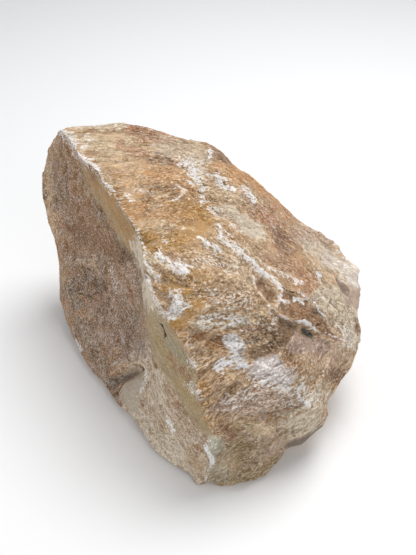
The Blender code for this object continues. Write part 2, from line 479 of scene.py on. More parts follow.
# A ledge drops to the right of its line, then comes gently back: the drop in millimetres, how soon it
# is reached, how far it goes, and its line.
LEDGES = {
    "edge of the slab": (4, 2, 24, [(270, 307), (285, 316), (297, 321), (307, 323), (318, 332), (330, 336)]),
    "upper edge of the slab": (3, 2.5, 13, [(281, 288), (292, 292), (304, 298), (314, 305), (327, 320)]),
    "brow over the front": (1.4, 3, 16, [
        (199, 328), (211, 336), (226, 335), (240, 332), (256, 335), (276, 333),
    ]),
    "edge of the bruise": (2, 2, 9, [(153, 281), (166, 275), (181, 283), (195, 285)]),
    "step left of the slab": (1.2, 1.5, 6, [(147, 184), (151, 191), (147, 198), (138, 202)]),
    "step above the chevron": (1.6, 2, 10, [(153, 182), (165, 183), (178, 186)]),
    "front step": (3.5, 2, 12, [(258, 408), (270, 413), (282, 409), (294, 403)]),
    "foot step": (3, 2, 14, [(225, 433), (240, 424), (255, 424), (268, 430)]),
    "crest shoulder": (1.2, 2, 10, [(212, 150), (222, 153), (234, 164)]),
    "crest edge": (2, 2, 10, [(238, 168), (250, 176), (262, 190), (272, 204)]),
    "right shoulder": (2, 2, 12, [(318, 236), (330, 246), (343, 256)]),
    "right facet": (2.5, 2, 9, [(344, 296), (338, 286), (336, 276)]),
    "step left of the rib": (2, 2, 10, [(199, 238), (212, 248), (224, 262), (240, 270)]),
    "chip": (3, 2, 12, [(226, 436), (222, 446), (223, 458)]),
}

drops = np.zeros(len(places))
for height, reach, line in RIBS.values():
    drops += height * np.exp(-(from_line(line)[0] / reach) ** 2)
for height, edge, reach, line in LEDGES.values():
    distance, side, along = from_line(line)
    below = eased(distance * side, -0.3, edge) * (1 - eased(distance, edge, reach))
    drops -= height * below * eased(np.minimum(along, 1 - along), 0, 0.2)
relief += drops * in_sight
# The outline keeps to the solid's.
relief *= 0.35 + 0.65 * eased(np.abs(facing), 0.05, 0.4)

LEAST_LIFT = 0.4 * MM
relief[on_floor] = 0
finished = places + faces_out * (relief * MM)[:, None]
finished[:, 2] = np.where(on_floor, places[:, 2], np.maximum(finished[:, 2], LEAST_LIFT))


def hollowness(passes):
    """How far each vertex lies below the stone round it, in millimetres."""
    return ((blurred(finished, passes) - finished) * outward(finished)).sum(axis=1) / MM


hollow = hollowness(passes=2)
wide_hollow = hollowness(passes=16)

# The colours. Iron stains the calcite cream, ochre, amber and brown, the steep side is pinkish, and
# bruises and crusts are chalk white. Some stains are painted shade or painted light instead, each marked
# where it stands. Each stain is a line in the frame: its colour, how strongly it covers what is under it,
# how far it reaches, and its points.


def linear(shade):
    """A colour given in screen values, in the shader's own."""
    shares = np.array(shade) / 255
    return np.where(shares <= 0.04045, shares / 12.92, ((shares + 0.055) / 1.055) ** 2.4)


SHADES = {
    "tan": (202, 167, 128),
    "light tan": (218, 190, 158),
    "cream": (230, 206, 170),
    "pale": (228, 214, 192),
    "ochre": (190, 142, 64),
    "orange": (208, 146, 70),
    "amber": (148, 96, 14),
    "brown": (150, 106, 70),
    # Painted shade: dark brown is laid only where shade falls, under the crest, in the undercut, under the
    # fringe and in the notch.
    "dark brown": (88, 62, 40),
    "rust": (188, 134, 96),
    "mauve": (182, 150, 128),
    "pink": (204, 176, 156),
    "grey cream": (214, 196, 174),
    "lilac": (204, 196, 200),
    "olive": (160, 138, 104),
    "amber brown": (116, 78, 28),
    "slab brown": (152, 106, 58),
    "lilac pink": (174, 147, 134),
    "dusky": (140, 114, 98),
    "shell": (222, 210, 198),
    # Painted shadow: hole is laid only in the hole under the slab and in the slot in the front.
    "hole": (50, 42, 28),
    "green glass": (202, 200, 182),
    "olive stone": (160, 134, 90),
    # Painted shade: underside is laid only on the underside of the foot.
    "underside": (108, 94, 78),
    "side pink": (170, 128, 92),
    "side brown": (136, 110, 82),
    "side amber": (170, 126, 84),
    "side grey": (194, 180, 162),
    "slick": (214, 203, 184),
    "side rust": (114, 76, 32),
    # Painted light: side warm is laid only along the left rim, where the side turns towards the sky.
    "side warm": (212, 178, 142),
    "foot": (181, 159, 132),
    "side beige": (178, 136, 84),
    "side mauve": (140, 122, 114),
    "side pale": (212, 194, 170),
    "honey": (170, 120, 2),
    "olive honey": (170, 140, 76),
    "pale olive": (166, 142, 98),
    "glass": (160, 148, 112),
}
COLOURS = {name: linear(shade) for name, shade in SHADES.items()}

# Stains of the top and the front: the colour, how strongly it covers, its reach, its line.
TOP_STAINS = {
    "cream lamellae": ("cream", 0.8, 26, [(75, 135), (95, 145), (122, 147)]),
    "cream below them": ("cream", 0.35, 16, [(95, 165), (120, 168), (138, 172)]),
    "orange below them": ("orange", 0.35, 14, [(112, 170), (128, 178), (138, 190)]),
    "pale top edge": ("pale", 0.8, 5, [(64, 127), (90, 126), (118, 124), (127, 123)]),
    "red brown at the top": ("rust", 1.0, 10, [(132, 128), (145, 134), (160, 141)]),
    "brown in it": ("brown", 0.6, 6, [(140, 130), (152, 137)]),
    "rusty streak": ("rust", 0.7, 8, [(119, 146), (128, 149), (140, 154)]),
    "rust under the crack": ("brown", 0.8, 7, [(150, 158), (160, 160), (170, 164)]),
    "mauve under the crest": ("grey cream", 0.8, 12, [(160, 146), (178, 152), (195, 150), (208, 156)]),
    "orange belt": ("orange", 0.6, 14, [(150, 172), (168, 177), (184, 178), (188, 192)]),
    "slab left of the chevron": ("amber", 0.7, 6, [(156, 189), (166, 190), (175, 191)]),
    "stained step": ("amber", 1.0, 5, [(151, 187), (151, 196), (147, 200)]),
    "golden ochre": ("orange", 0.5, 17, [(125, 212), (150, 215), (175, 210), (195, 214)]),
    "ochre above the arc": ("ochre", 0.9, 12, [(178, 204), (196, 210), (204, 220)]),
    "amber right of the arc": ("amber", 0.4, 8, [(188, 222), (204, 228)]),
    "ochre below the arc": ("ochre", 1.0, 12, [(146, 238), (175, 240), (200, 230)]),
    "amber below the arc": ("ochre", 1.0, 8, [(146, 247), (160, 250), (176, 247)]),
    "cream above the bruise": ("cream", 1.0, 7, [(150, 276), (146, 258), (156, 260), (168, 264)]),
    "cream arc": ("cream", 0.2, 4, [(160, 221), (172, 226), (181, 229), (194, 230)]),
    "cream left of the arc": ("cream", 0.5, 8, [(144, 222), (156, 224), (166, 232)]),
    # Partly a brown stain and partly painted shade under the crest's rim.
    "brown under the crest": ("brown", 0.7, 6, [(213, 153), (223, 158), (232, 165)]),
    "dark brown under the crest": ("dark brown", 0.4, 3, [(216, 154), (224, 159), (231, 165)]),
    "gold under the crest": ("orange", 0.6, 9, [(218, 168), (228, 172), (240, 180)]),
    "rim of the crest": ("brown", 0.6, 6, [(205, 143), (222, 150), (236, 166)]),
    "rim past the bump": ("orange", 0.7, 7, [(236, 166), (252, 175), (268, 190), (286, 208)]),
    "rim further down": ("rust", 0.5, 6, [(286, 208), (298, 222), (314, 232)]),
    "pale crest patch": ("pale", 0.8, 9, [(192, 161), (198, 172), (200, 181)]),
    "grey cream streak": ("light tan", 0.8, 12, [(208, 184), (222, 198), (232, 212)]),
    "mauve streak": ("dusky", 0.6, 7, [(243, 196), (250, 204), (256, 213)]),
    "red brown field": ("rust", 1.0, 14, [(268, 212), (278, 226), (286, 242)]),
    "pink stripes": ("pink", 0.9, 14, [(300, 234), (318, 246), (330, 262)]),
    "mauve between the stripes": ("mauve", 0.6, 4, [(296, 236), (310, 243), (322, 250)]),
    "cream over the rib": ("grey cream", 1.0, 9, [(222, 211), (234, 216), (244, 222)]),
    "thick cream": ("pale", 0.9, 8, [(244, 222), (252, 229), (260, 237)]),
    "tan field": ("tan", 0.9, 20, [(215, 262), (235, 280), (250, 300)]),
    "light in the tan field": ("light tan", 1.0, 14, [(236, 266), (250, 278), (268, 280)]),
    "brown by the bruise": ("ochre", 0.6, 11, [(188, 272), (204, 280)]),
    "light field": ("brown", 0.45, 13, [(200, 300), (220, 302), (240, 305)]),
    "tan right of the rib": ("rust", 0.6, 16, [(272, 260), (296, 266), (310, 285)]),
    "brown right of the rib": ("brown", 0.7, 9, [(262, 252), (280, 262)]),
    "ochre between bruises": ("ochre", 1.0, 13, [(158, 282), (178, 290), (192, 303)]),
    "smooth amber": ("ochre", 1.0, 13, [(175, 326), (186, 318), (200, 304)]),
    "amber streak": ("ochre", 0.6, 7, [(200, 293), (213, 294), (224, 296)]),
    "grainy cream": ("pale", 1.0, 14, [(200, 322), (222, 320), (244, 322)]),
    "amber hollow": ("amber", 1.0, 11, [(196, 338), (210, 344), (226, 343)]),
    # Painted shade under the brow and under the fringe of the slab.
    "dark undercut": ("dark brown", 1.0, 2.6, [(246, 341), (254, 343), (262, 339)]),
    "brown over the undercut": ("brown", 0.9, 9, [(244, 330), (262, 328), (284, 330)]),
    "shade under the fringe": ("dark brown", 0.5, 7, [(260, 322), (270, 328), (284, 330), (296, 332)]),
    "pale shoulder": ("pale", 0.75, 12, [(306, 246), (320, 252), (330, 262)]),
    "shade on the right corner": ("lilac pink", 0.6, 8, [(332, 244), (343, 250), (351, 257)]),
    "brown dent": ("brown", 1.0, 12, [(278, 230), (286, 241), (292, 250)]),
    "pale below the dent": ("pale", 0.7, 12, [(326, 290), (320, 300), (336, 306)]),
    "pale right facet": ("pale", 0.7, 12, [(330, 258), (344, 268), (356, 280)]),
    "cream right facet": ("light tan", 0.9, 12, [(318, 262), (330, 280), (330, 300)]),
    "grey cream right edge": ("pale", 1.0, 17, [(350, 300), (355, 320), (350, 340)]),
    "rust on the right edge": ("brown", 0.9, 6, [(357, 320), (358, 330)]),
    "light tan right of the slab": ("pale", 1.0, 15, [(330, 294), (336, 304), (342, 322)]),
    "lilac pink below the ledge": ("pink", 0.5, 14, [(292, 345), (312, 350), (330, 335)]),
    "light front": ("pink", 1.0, 24, [(245, 404), (275, 406), (310, 398)]),
    "front right": ("pink", 0.6, 18, [(322, 352), (338, 348), (330, 368)]),
    "tan right of the lilac": ("brown", 0.6, 12, [(292, 362), (304, 374)]),
    "ochre fan": ("ochre", 0.7, 9, [(199, 380), (200, 400), (204, 425)]),
    "brown fan": ("brown", 0.5, 5, [(200, 400), (212, 390), (222, 380)]),
    "mauve fan": ("pink", 0.9, 10, [(214, 408), (236, 404), (252, 396), (264, 390), (282, 398)]),
    "orange above the lilac": ("brown", 0.7, 8, [(270, 350), (288, 352)]),
    "upper lilac": ("lilac", 1.0, 10, [(231, 342), (238, 352), (240, 366)]),
    "small lilac": ("lilac", 1.0, 7, [(218, 367), (230, 363)]),
    "wide lilac": ("lilac", 0.75, 12, [(254, 372), (268, 364), (284, 374)]),
    # Painted shade in the dip under the right shoulder.
    "brown on the right shoulder": ("brown", 1.0, 11, [(333, 375), (346, 380)]),
    "cream on the front": ("pale", 0.9, 11, [(300, 388), (312, 400), (306, 420)]),
    "foot": ("foot", 1.0, 34, [(215, 455), (240, 455), (280, 445), (300, 430)]),
    "grey foot": ("pale", 0.8, 14, [(290, 422), (305, 424), (302, 438)]),
    "pale front corner": ("pale", 0.8, 14, [(318, 392), (316, 408), (300, 420)]),
    "light right of the foot": ("pink", 0.8, 12, [(264, 424), (276, 440), (272, 460)]),
    "cream over the foot": ("cream", 0.9, 9, [(240, 423), (254, 426), (268, 431)]),
    # Painted shadow beside the chip.
    "brown beside the chip": ("brown", 1.0, 9, [(222, 428), (229, 432), (231, 442)]),
    "brown near the floor": ("olive", 0.5, 10, [(232, 470), (245, 478)]),
    "olive lower edge": ("pale olive", 0.8, 10, [(212, 484), (240, 480), (262, 473), (278, 460)]),
}
# Stains of the steep side, in the same order.
SIDE_STAINS = {
    "beige strip along the ridge": ("side beige", 1.0, 13, [
        (60, 132), (75, 155), (88, 185), (102, 215), (114, 240),
    ]),
    # Painted light along the left rim, where the side turns towards the sky.
    "warm left outline": ("side warm", 1.0, 9, [(60, 130), (50, 150), (47, 180), (50, 210), (57, 235)]),
    "beige left edge": ("side beige", 0.6, 7, [(60, 240), (61, 262), (64, 282)]),
    "olive hollow": ("side rust", 1.0, 15, [(84, 278), (98, 286)]),
    "brown by the left edge": ("side brown", 1.0, 9, [(70, 286), (76, 304)]),
    "rim of the hollow": ("side pale", 0.3, 5, [(74, 260), (86, 260), (98, 264)]),
    "pale streaks": ("side pale", 0.15, 6, [(106, 262), (112, 275), (120, 292), (124, 305)]),
    "grey lower side": ("side mauve", 0.5, 26, [(104, 312), (122, 340), (142, 352)]),
    # Painted shade under the notch lip.
    "brown under the notch lip": ("side brown", 1.0, 5, [(110, 386), (118, 380), (128, 376), (138, 371)]),
    "brown lower edge": ("side brown", 0.8, 10, [(80, 325), (92, 348), (104, 366)]),
    "pale notch lip": ("side pale", 0.3, 5, [(116, 366), (130, 360), (144, 352)]),
    "pale panel": ("side pale", 1.0, 34, [(150, 380), (160, 412), (178, 445), (190, 468)]),
    "pale lower edge": ("pale", 1.0, 19, [(134, 416), (152, 440), (172, 462)]),
    "rusty side": ("side rust", 1.0, 16, [(84, 232), (98, 240), (124, 248)]),
    # Painted shade on the steep side beside the band, laid in the rust colour.
    "dark side by the band": ("side rust", 1.0, 14, [(98, 205), (114, 232), (124, 254)]),
    "rusty side, lower": ("side rust", 0.5, 10, [(70, 210), (76, 230)]),
    "warm upper side": ("side amber", 0.6, 22, [(66, 150), (76, 190), (88, 225), (108, 245)]),
    "pale by the lower ridge": ("side pale", 0.4, 15, [(188, 420), (200, 445), (204, 470), (200, 485)]),
    "pink in the panel": ("side pink", 0.4, 9, [(168, 390), (176, 412), (186, 432)]),
    "ochre in the panel": ("side beige", 0.25, 11, [(148, 398), (155, 412), (162, 424)]),
    "beige by the floor": ("side beige", 0.5, 9, [(190, 450), (198, 464)]),
    "shadow in the notch": ("dark brown", 0.7, 3, [(112, 383), (120, 380), (130, 375)]),
}
# Stains of the honey band.
BAND_STAINS = {
    "upper honey": ("honey", 1.0, 14, [(92, 172), (104, 194), (118, 216), (130, 238)]),
    "amber spot": ("amber", 1.0, 6, [(90, 168), (93, 176)]),
    "pale middle": ("pale", 1.0, 10, [(141, 244), (145, 270), (150, 304)]),
    "honey middle": ("olive honey", 0.9, 6, [(150, 320), (160, 345), (172, 365)]),
    "glassy facet": ("glass", 0.9, 5, [(168, 342), (178, 352), (188, 364)]),
    "honey spot": ("amber", 0.9, 5, [(171, 357), (175, 363)]),
    "lower honey spot": ("amber", 1.0, 6, [(183, 370), (188, 377)]),
    "lower honey": ("olive honey", 1.0, 7, [(178, 380), (192, 402), (204, 424)]),
    "glassy chip": ("glass", 1.0, 9, [(213, 438), (214, 448), (212, 458)]),
}

# Flat facets, each an outline in the frame: its colour, how strongly it covers, how far its edge
# blends, how much smoother it is than the break round it, and the outline.
FACETS = {
    "slab": ("slab brown", 0.95, 2.0, -0.5, [
        (281, 290), (292, 292), (303, 299), (312, 306), (322, 317), (334, 333), (346, 342), (332, 339),
        (319, 331), (308, 322), (297, 320), (285, 314), (280, 303),
    ]),
    # Partly the slab's amber-brown underside and partly painted shade under it.
    "underside of the slab": ("amber brown", 1.0, 4.0, -0.3, [
        (284, 318), (296, 323), (302, 330), (294, 335), (286, 345), (278, 351), (258, 362), (250, 360),
        (250, 348), (268, 342), (274, 332),
    ]),
    "hollow of the lens": ("slab brown", 0.8, 2.0, -0.6, [
        (256, 280), (262, 278), (270, 284), (275, 292), (275, 304), (268, 300), (260, 291),
    ]),
    "lilac pink field": ("lilac pink", 0.85, 4.0, -0.3, [
        (300, 330), (312, 336), (326, 340), (334, 348), (326, 356), (306, 352), (288, 354), (286, 346),
    ]),
    "amber oval": ("amber brown", 0.6, 3.0, 0.0, [(282, 348), (288, 349), (288, 357), (282, 357)]),
    "slick right of the cross": ("slick", 0.9, 2.5, -0.8, [
        (236, 213), (246, 216), (262, 228), (263, 236), (252, 237), (243, 230), (238, 222),
    ]),
    "slick above the cross": ("slick", 0.7, 3.0, -0.4, [
        (222, 203), (232, 202), (241, 208), (240, 215), (230, 213),
    ]),
    # Painted shadow in the hole under the slab.
    "hole under the slab": ("hole", 1.0, 1.6, -0.4, [
        (305, 327), (309, 327), (314, 331), (319, 336), (317, 339), (312, 337), (307, 332),
    ]),
    "pale right facet": ("shell", 0.9, 6.0, -0.6, [
        (314, 254), (328, 250), (340, 256), (352, 264), (362, 277), (362, 291), (352, 289), (343, 280),
        (334, 271), (325, 266),
    ]),
    "cool right facet": ("lilac pink", 0.8, 2.5, -0.6, [
        (349, 297), (353, 290), (363, 290), (363, 314), (352, 308), (345, 301),
    ]),
    "dent in the right facet": ("dusky", 1.0, 1.6, -0.8, [
        (336, 274), (343, 281), (351, 291), (348, 297), (342, 292), (338, 283),
    ]),
    "cream lip of the dent": ("pale", 0.9, 3.0, 0.0, [
        (337, 286), (342, 293), (347, 300), (346, 312), (341, 304),
    ]),
    "chip": ("green glass", 0.85, 4.0, -0.7, [
        (210, 434), (217, 434), (224, 443), (222, 450), (217, 456), (212, 465), (208, 461), (203, 449),
    ]),
    "glassy foot": ("green glass", 0.45, 3.0, -0.5, [(208, 465), (229, 466), (230, 480), (206, 486)]),
    "wide lilac": ("lilac", 0.8, 5.0, -0.8, [
        (252, 366), (262, 356), (276, 355), (283, 362), (284, 374), (292, 382), (284, 386), (268, 380),
        (256, 378),
    ]),
    # Painted shadow in the slot.
    "slot in the front": ("hole", 1.0, 1.2, 0.3, [
        (278, 411), (282, 406), (291, 405), (290, 409), (283, 414),
    ]),
    "olive hollow of the foot": ("olive stone", 1.0, 8.0, -0.3, [
        (224, 442), (240, 438), (259, 445), (252, 460), (236, 470), (228, 458),
    ]),
    # Painted shade on the underside of the foot.
    "underside of the foot": ("underside", 1.0, 2.5, -0.8, [
        (284, 447), (293, 440), (309, 433), (326, 422), (322, 438), (300, 450),
    ]),
    "smooth side facet": ("side grey", 1.0, 1.6, -0.8, [
        (122, 384), (132, 378), (143, 371), (143, 384), (141, 399), (137, 414), (130, 411), (120, 398),
    ]),
}

# Chalk lies in bruises, crusts and flecks: how thick it lies, its reach, its line.
CHALK = {
    "ridge crust, upper": (0.8, 6, [(62, 130), (70, 138), (76, 147)]),
    "ridge crust, thick": (0.9, 6, [(80, 155), (88, 161), (96, 169)]),
    "ridge crust, middle": (0.8, 4, [(98, 175), (105, 184), (111, 191)]),
    "ridge crust, thin": (0.7, 1.8, [(114, 193), (122, 209), (132, 223), (139, 235)]),
    "ridge edge": (0.7, 2.4, [(139, 236), (144, 250), (146, 265)]),
    "ridge edge, lower": (0.9, 2.4, [(146, 272), (148, 284), (152, 292), (158, 306), (163, 314)]),
    "white on the cream lamellae": (0.6, 6, [(88, 138), (84, 146)]),
    "flecks by the step": (0.5, 3, [(134, 190), (142, 188)]),
    "flecks in the red field": (0.3, 6, [(262, 206), (270, 216), (276, 226)]),
    "flecks left of the step": (0.7, 4, [(126, 194), (132, 200)]),
    "chevron": (0.5, 2.5, [(176, 186), (186, 192), (180, 196), (174, 200)]),
    "flecks under the crest": (0.7, 5, [(180, 163), (192, 165)]),
    "pale patch under the crest": (0.9, 8, [(190, 171), (198, 180)]),
    "flecks on the crest": (0.6, 5, [(192, 160), (204, 164)]),
    "fleck on the crest": (0.8, 3, [(209, 151), (210, 155)]),
    "streak below the crest": (0.9, 4, [(215, 176), (224, 183), (234, 189)]),
    "streak right of it": (0.9, 4, [(243, 187), (250, 192), (254, 200)]),
    "two spots": (0.9, 4, [(201, 190), (203, 201)]),
    "spot above the rib": (0.8, 3, [(209, 209), (217, 214)]),
    "arc": (0.2, 4, [(163, 221), (172, 226), (181, 229), (193, 229)]),
    "fleck under the arc": (0.7, 2.5, [(162, 237), (165, 242)]),
    "branch left of the rib": (0.9, 3, [(198, 237), (206, 243), (217, 250)]),
    "cross": (0.7, 2.5, [(230, 222), (242, 232)]),
    "patch left of the cross": (0.55, 5, [(218, 227), (228, 235)]),
    "diagonal rib, upper": (0.85, 3.8, [(219, 232), (224, 241), (232, 249)]),
    "diagonal rib, middle": (0.85, 3.6, [(230, 247), (243, 257), (257, 270)]),
    "diagonal rib, lower": (0.9, 3, [(257, 270), (268, 276), (279, 286)]),
    "branch right of the rib": (0.6, 2.5, [(258, 262), (275, 270), (296, 281)]),
    "right rim of the lens": (0.9, 2.4, [(276, 284), (281, 292), (278, 306)]),
    "fringe under the lens": (0.65, 3.5, [(272, 311), (282, 318), (276, 322)]),
    "tip of the slab": (1.0, 1.7, [(300, 321), (306, 322), (312, 326), (318, 330)]),
    "flecks on the slab": (0.9, 3, [(286, 302), (290, 303)]),
    "spot on the slab": (0.9, 3, [(299, 299), (304, 302)]),
    "spot on the branch": (0.9, 2.5, [(295, 281), (300, 283)]),
    "white spot": (1.2, 3, [(317, 273), (320, 275)]),
    "upper bruise": (0.95, 7.5, [(163, 257), (172, 264), (184, 270)]),
    "flecks by the bruise": (0.75, 6, [(150, 268), (158, 280)]),
    "cream flecks in the field": (0.45, 9, [(200, 262), (215, 260), (230, 268)]),
    "flecks in the field": (0.45, 10, [(205, 290), (225, 300), (245, 300)]),
    "lower bruise": (0.95, 8.5, [(176, 298), (182, 304), (172, 311)]),
    "lower bruise, left": (0.9, 5, [(160, 311), (170, 313)]),
    "upper lilac": (0.95, 6, [(230, 341), (236, 349), (234, 357), (242, 366)]),
    "flecks in the grainy cream": (0.7, 8, [(206, 320), (224, 318), (242, 322)]),
    "small lilac": (0.9, 7, [(218, 367), (230, 362)]),
    "wide lilac": (0.5, 8, [(254, 372), (268, 365), (284, 374)]),
    "bloom on the front": (0.45, 12, [(262, 393), (290, 397), (316, 397)]),
    "wide lilac, lower edge": (0.8, 3, [(256, 382), (272, 384), (286, 386)]),
    "white fan strokes": (0.5, 7, [(222, 402), (234, 402), (246, 394), (258, 388)]),
    "band tip": (0.9, 4, [(191, 362), (194, 367)]),
    "lower band tip": (0.9, 5, [(190, 384), (197, 393)]),
    "front streak": (1.0, 2.5, [(296, 387), (300, 397), (309, 406)]),
    "spot over the streak": (0.8, 3, [(302, 384), (305, 388)]),
    "chip": (1.0, 4, [(206, 448), (210, 455), (212, 462)]),
    "chip, upper": (0.7, 4, [(208, 440), (214, 446)]),
    "left rim chip": (0.9, 3, [(76, 341), (81, 350)]),
    "notch edge": (0.7, 2, [(143, 368), (145, 378), (141, 392)]),
    "flecks on the panel": (0.8, 2.5, [(168, 418), (171, 426), (173, 432)]),
    "streaks on the side": (0.5, 3, [(109, 264), (113, 276), (119, 292)]),
    "right edge flecks": (0.5, 9, [(345, 330), (350, 345)]),
    "right facet bloom": (0.5, 9, [(344, 266), (352, 278)]),
}

# Hair cracks, and lips of broken sheets, which are white: how plain each is, and its line.
CRACKS = {
    "at the top": (0.9, [(180, 140), (185, 143), (190, 143)]),
    "across the top": (0.55, [(143, 144), (151, 148), (156, 155), (165, 159), (172, 163)]),
    "over the slab": (1.0, [(281, 288), (288, 290), (297, 293), (304, 298), (309, 303)]),
    "behind the slab": (0.9, [(313, 303), (319, 312), (326, 319)]),
    "slot in the front": (1.0, [(279, 410), (284, 407), (290, 406)]),
    "upright in the front": (0.3, [(276, 414), (277, 421), (277, 430)]),
    "upright in the foot": (0.25, [(297, 416), (294, 426), (294, 436)]),
    "under the bruise": (0.45, [(170, 273), (176, 277), (181, 281)]),
    "near the floor": (0.5, [(229, 466), (228, 473), (228, 480)]),
    "in the notch": (0.9, [(117, 396), (119, 389), (122, 383)]),
    "across the steep side": (0.5, [(69, 290), (76, 293), (88, 297)]),
    "in the band": (1.0, [(160, 324), (163, 331), (164, 337)]),
    "behind the rib": (0.5, [(232, 247), (243, 254), (256, 266)]),
    "beside the chip": (0.5, [(224, 428), (225, 440), (222, 450)]),
}
LIPS = {
    "edge of the slab": (0.9, [(268, 306), (275, 309), (283, 315), (296, 321), (305, 321), (309, 325)]),
    "tip of the slab": (0.9, [(308, 323), (313, 327), (319, 331)]),
    "upper edge of the slab": (1.0, [(299, 292), (306, 297), (312, 301), (318, 309), (327, 319)]),
    "edge right of the slab": (0.8, [(328, 333), (334, 336), (341, 340)]),
    "left rim of the lens": (0.9, [(253, 276), (255, 287), (262, 298), (273, 308)]),
    "step left of the slab": (0.6, [(139, 189), (147, 188), (150, 192)]),
    "chevron": (0.4, [(176, 186), (186, 192), (180, 196), (174, 200)]),
    "line in the field": (0.4, [(306, 299), (314, 300), (323, 297)]),
    "left edge of the chip": (0.9, [(204, 449), (208, 456), (211, 465), (207, 472), (205, 482)]),
}


LINE_REACH = 3.2
FAR_OFF = 9.0


def thin_line(marks):
    """How far to one side of the nearest line each vertex lies, and how plain that line is there."""
    offset = np.full(len(places), FAR_OFF)
    plain = np.zeros(len(places))
    for strength, line in marks.values():
        distance, side, _ = from_line(line)
        closer = distance < np.abs(offset)
        offset = np.where(closer, distance * side, offset)
        plain = np.where(closer, strength * eased(LINE_REACH - distance, 0, 1.4) * in_sight, plain)
    return offset, plain


crack_offset, crack_plain = thin_line(CRACKS)
lip_offset, lip_plain = thin_line(LIPS)

strokes = narrow * 0.5 + fine * 0.9
patchy = 0.9 * broad + 1.1 * narrow + 1.1 * fine + 0.5 * mottles(5, seed=51)


def stained(height, reach, line):
    """How far a stain covers each vertex, with a ragged edge."""
    return height * eased(1 - from_line(line)[0] / reach + patchy * 0.9, 0.12, 0.62) * stained_sight


def inside_outline(outline, blend):
    """1 inside a closed outline in the frame and 0 outside, over a slightly ragged edge."""
    distance = from_line(outline + outline[:1])[0]
    inside = np.zeros(len(places), bool)
    for start, end in zip(outline, outline[1:] + outline[:1]):
        spans = (start[1] > frame_place[:, 1]) != (end[1] > frame_place[:, 1])
        rise = (end[1] - start[1]) or 1
        crossing = start[0] + (frame_place[:, 1] - start[1]) * (end[0] - start[0]) / rise
        inside ^= spans & (frame_place[:, 0] < crossing)
    depth_in = np.where(inside, distance, -distance) + patchy * 0.7 * blend
    return eased(depth_in, -blend / 2, blend / 2) * stained_sight


tone = mottles(70, seed=61, layers=3)
second_tone = mottles(45, seed=64, layers=3)


def plain(name):
    """This colour at every vertex."""
    return np.tile(COLOURS[name], (len(places), 1))


def laid(under, over, share):
    """One colour with this share of another laid over it."""
    return under + (COLOURS[over] - under) * share[:, None]


def with_stains(colour, stains):
    """The colour with these stains laid over it in turn."""
    for name, strength, reach, line in stains.values():
        colour = laid(colour, name, stained(strength, reach, line))
    return colour


hidden = 1 - 0.6 * stained_sight
top = laid(plain("tan"), "ochre", eased(tone + narrow * 0.4, 0.0, 0.35) * 0.9 * hidden)
top = laid(top, "cream", eased(second_tone + narrow * 0.4, 0.05, 0.4) * 0.9 * hidden)
top = laid(top, "rust", eased(-second_tone + fine * 0.4, 0.15, 0.45) * 0.7 * hidden)
top = with_stains(top, TOP_STAINS)
side = laid(plain("side pink"), "side brown", eased(tone, 0.0, 0.4) * 0.8)
side = laid(side, "side beige", eased(second_tone, 0.1, 0.4) * 0.7)
side = with_stains(side, SIDE_STAINS)
honey = with_stains(plain("pale olive"), BAND_STAINS)
side += (honey - side) * band[:, None]
tint = top + (side - top) * granular[:, None]
for name, strength, blend, smoother, outline in FACETS.values():
    cover = strength * inside_outline(outline, blend)
    tint = laid(tint, name, cover)
    coarse += smoother * cover

chalk = (0.1 + 0.25 * second_tone) * (1 + np.clip(coarse, -1, 0)) * (1 - granular)
chalk += eased(mottles(30, seed=71, layers=3), 0.2, 0.5) * (1 - granular) * (1 - in_sight) * 0.6
for strength, reach, line in CHALK.values():
    core = eased(1 - from_line(line)[0] / (1.3 * reach) + strokes * 1.4, 0.0, 0.7)
    chalk = np.maximum(chalk, 0.95 * strength * core * in_sight)
chalk = np.clip(chalk * (1 - 0.4 * band) - np.clip(hollow, -0.6, 0.6) * 0.35, 0, 1)

# Painted shade and light: what lies low is darker by this share for each millimetre, and what stands out is
# lighter.
HOLLOW_SHADE = 0.40
WIDE_HOLLOW_SHADE = 0.10
shade = 1 - np.clip(hollow, -0.3, 1.0) * HOLLOW_SHADE - np.clip(wide_hollow, -2, 3) * WIDE_HOLLOW_SHADE
tint *= np.clip(shade, 0.35, 1.4)[:, None]
# How strongly the break is mottled and painted with light and shade, and how much dust lies on it, with
# painted light where it stands out.
depth = 1.45 + 0.15 * granular + 1.4 * mottles(26, seed=91, layers=3) * (1 - granular) + coarse
drift = streaked((24, 12, 12), seed=81, layers=3) * 0.45 + narrow * 0.3
dust_and_painted_light = 0.40 - 0.1 * granular + drift * (1 - granular) + mottles(18, seed=84, layers=3) * granular * 0.3
# Painted light: the pale dust colour lies thicker where the break stands out and thinner where it lies low.
dust_and_painted_light -= np.clip(hollow, -0.6, 0.6) * 0.5
dust_and_painted_light = np.clip(dust_and_painted_light + chalk * 0.3 + np.minimum(coarse, 0) * 0.45 - 0.4 * band, 0, 1)

stone_mesh.vertices.foreach_set("co", finished.ravel())
stone_mesh.update()
stone = bpy.data.objects.new("calcite_stone", stone_mesh)
bpy.context.collection.objects.link(stone)
colours = stone_mesh.color_attributes.new("tint", "FLOAT_COLOR", "POINT")
colours.data.foreach_set("color", np.column_stack([tint, np.ones(len(tint))]).ravel())
# In the finest grain the zones pass into each other over a shorter stretch.
sharpened = {name: share ** 3 for name, share in zones.items()}
sharpened_total = sum(sharpened.values())
# The lower steep side is faintly streaked.
PANEL = [(165, 360), (178, 400), (200, 470)]
PANEL_REACH = 40
layers = {
    "chalk": chalk, "dust_and_painted_light": dust_and_painted_light, "depth": depth, "granular": granular, "band": band,
    "streaky": eased(1 - from_line(PANEL)[0] / PANEL_REACH, 0, 0.6) * in_sight,
    "crack_offset": crack_offset, "crack_plain": crack_plain,
    "lip_offset": lip_offset, "lip_plain": lip_plain,
}
layers |= {name: share / sharpened_total for name, share in sharpened.items()}
for name, values in layers.items():
    layer = stone_mesh.attributes.new(name, "FLOAT", "POINT")
    layer.data.foreach_set("value", values)

